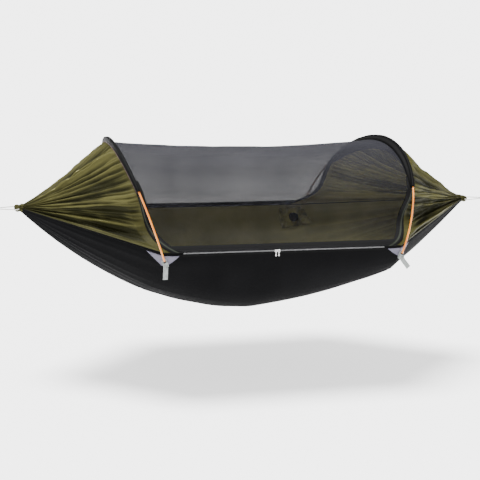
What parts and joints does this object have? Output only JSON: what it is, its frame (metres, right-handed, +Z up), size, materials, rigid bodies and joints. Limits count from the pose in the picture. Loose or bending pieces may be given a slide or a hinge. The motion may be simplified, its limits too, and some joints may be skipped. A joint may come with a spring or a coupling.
{
  "type": "camping hammock",
  "caption": "Camping hammock with a two-layer gathered bed, pleated end caps, a zipped bug net over two bent-pole hoops, and a keylock carabiner at each end.",
  "frame": {"origin": "the point on the head-end carabiner where the strap that holds it up bears: the inner side of its far bar", "axes": "+X from the head end to the foot end, +Z up, and the zipped door faces -Y"},
  "size_m": [3.036, 1.205, 0.9265],
  "materials": {
    "olive_nylon": "ripstop nylon, slight sheen",
    "black_nylon": "plain woven nylon, matt",
    "black_mesh": "fine hexagonal bug mesh, see-through",
    "black_tape": "grosgrain binding tape",
    "zip_grey": "nylon coil",
    "zinc": "plated zinc casting",
    "orange_fibre": "pultruded glass fibre, clear coat",
    "alloy": "satin anodised",
    "steel": "satin",
    "elastic": "braided elastic cord",
    "rope": "braided cord, pale grey",
    "grey_patch": "coated woven cloth",
    "grey_webbing": "flat woven webbing",
    "rubber": "moulded, matt"
  },
  "bodies": {
    "canopy_and_bed": {"bed_outer": "black_nylon", "bed_inner": "olive_nylon", "head_end_cap": "olive_nylon", "foot_end_cap": "olive_nylon", "bug_net": "black_mesh", "front_net_band": "black_tape", "rear_net_band": "black_tape", "door_zip_tape": "black_tape", "door_zip_coil": "zip_grey", "head_pole_section_1": "orange_fibre", "head_pole_section_2": "orange_fibre", "head_pole_section_3": "orange_fibre", "head_pole_section_4": "orange_fibre", "head_pole_ferrule_1": "alloy", "head_pole_ferrule_2": "alloy", "head_pole_ferrule_3": "alloy", "head_shock_cord": "elastic", "head_hoop_sleeve": "black_nylon", "head_gathered_end": "olive_nylon", "head_rope_loop": "rope", "head_front_corner_patch": "grey_patch", "head_front_corner_tab": "grey_webbing", "head_front_pole_tip": "rubber", "head_rear_corner_patch": "grey_patch", "head_rear_corner_tab": "grey_webbing", "head_rear_pole_tip": "rubber", "foot_pole_section_1": "orange_fibre", "foot_pole_section_2": "orange_fibre", "foot_pole_section_3": "orange_fibre", "foot_pole_section_4": "orange_fibre", "foot_pole_ferrule_1": "alloy", "foot_pole_ferrule_2": "alloy", "foot_pole_ferrule_3": "alloy", "foot_shock_cord": "elastic", "foot_hoop_sleeve": "black_nylon", "foot_gathered_end": "olive_nylon", "foot_rope_loop": "rope", "foot_front_corner_patch": "grey_patch", "foot_front_corner_tab": "grey_webbing", "foot_front_pole_tip": "rubber", "foot_rear_corner_patch": "grey_patch", "foot_rear_corner_tab": "grey_webbing", "foot_rear_pole_tip": "rubber", "storage_pouch": "olive_nylon", "pouch_badge": "black_tape"},
    "head_zip_slider": {"head_zip_slider": "zinc"},
    "head_zip_pull": {"head_zip_pull": "zinc"},
    "head_carabiner": {"head_carabiner_body": "alloy", "head_carabiner_gate_pin": "steel"},
    "head_gate": {"head_carabiner_gate": "alloy"},
    "foot_zip_slider": {"foot_zip_slider": "zinc"},
    "foot_zip_pull": {"foot_zip_pull": "zinc"},
    "foot_carabiner": {"foot_carabiner_body": "alloy", "foot_carabiner_gate_pin": "steel"},
    "foot_gate": {"foot_carabiner_gate": "alloy"}
  },
  "joints": [
    {"name": "head_slider_slide", "type": "slide", "parent": "canopy_and_bed", "child": "head_zip_slider", "axis": [-1, 0, 0], "range_m": [0, 0.48]},
    {"name": "head_pull_hinge", "type": "hinge", "parent": "head_zip_slider", "child": "head_zip_pull", "pos_m": [1.4312, -0.5886, -0.1377], "axis": [-1, 0, 0], "range_deg": [0, 110]},
    {"name": "head_carabiner_swing", "type": "hinge", "parent": "canopy_and_bed", "child": "head_carabiner", "pos_m": [0.0665, 0, 0], "axis": [0, 0, 1], "range_deg": [-60, 60]},
    {"name": "head_gate_hinge", "type": "hinge", "parent": "head_carabiner", "child": "head_gate", "pos_m": [0.047, 0, 0.0185], "axis": [0, -1, 0], "range_deg": [0, 25], "stiffness_Nm_per_rad": 0.12, "springref_deg": -34.38},
    {"name": "foot_slider_slide", "type": "slide", "parent": "canopy_and_bed", "child": "foot_zip_slider", "axis": [1, 0, 0], "range_m": [0, 0.56]},
    {"name": "foot_pull_hinge", "type": "hinge", "parent": "foot_zip_slider", "child": "foot_zip_pull", "pos_m": [1.447, -0.5886, -0.1377], "axis": [-1, 0, 0], "range_deg": [0, 110]},
    {"name": "foot_carabiner_swing", "type": "hinge", "parent": "canopy_and_bed", "child": "foot_carabiner", "pos_m": [2.9517, 0, 0], "axis": [0, 0, 1], "range_deg": [-60, 60]},
    {"name": "foot_gate_hinge", "type": "hinge", "parent": "foot_carabiner", "child": "foot_gate", "pos_m": [2.9712, 0, 0.0185], "axis": [0, 1, 0], "range_deg": [0, 25], "stiffness_Nm_per_rad": 0.12, "springref_deg": -34.38}
  ]
}
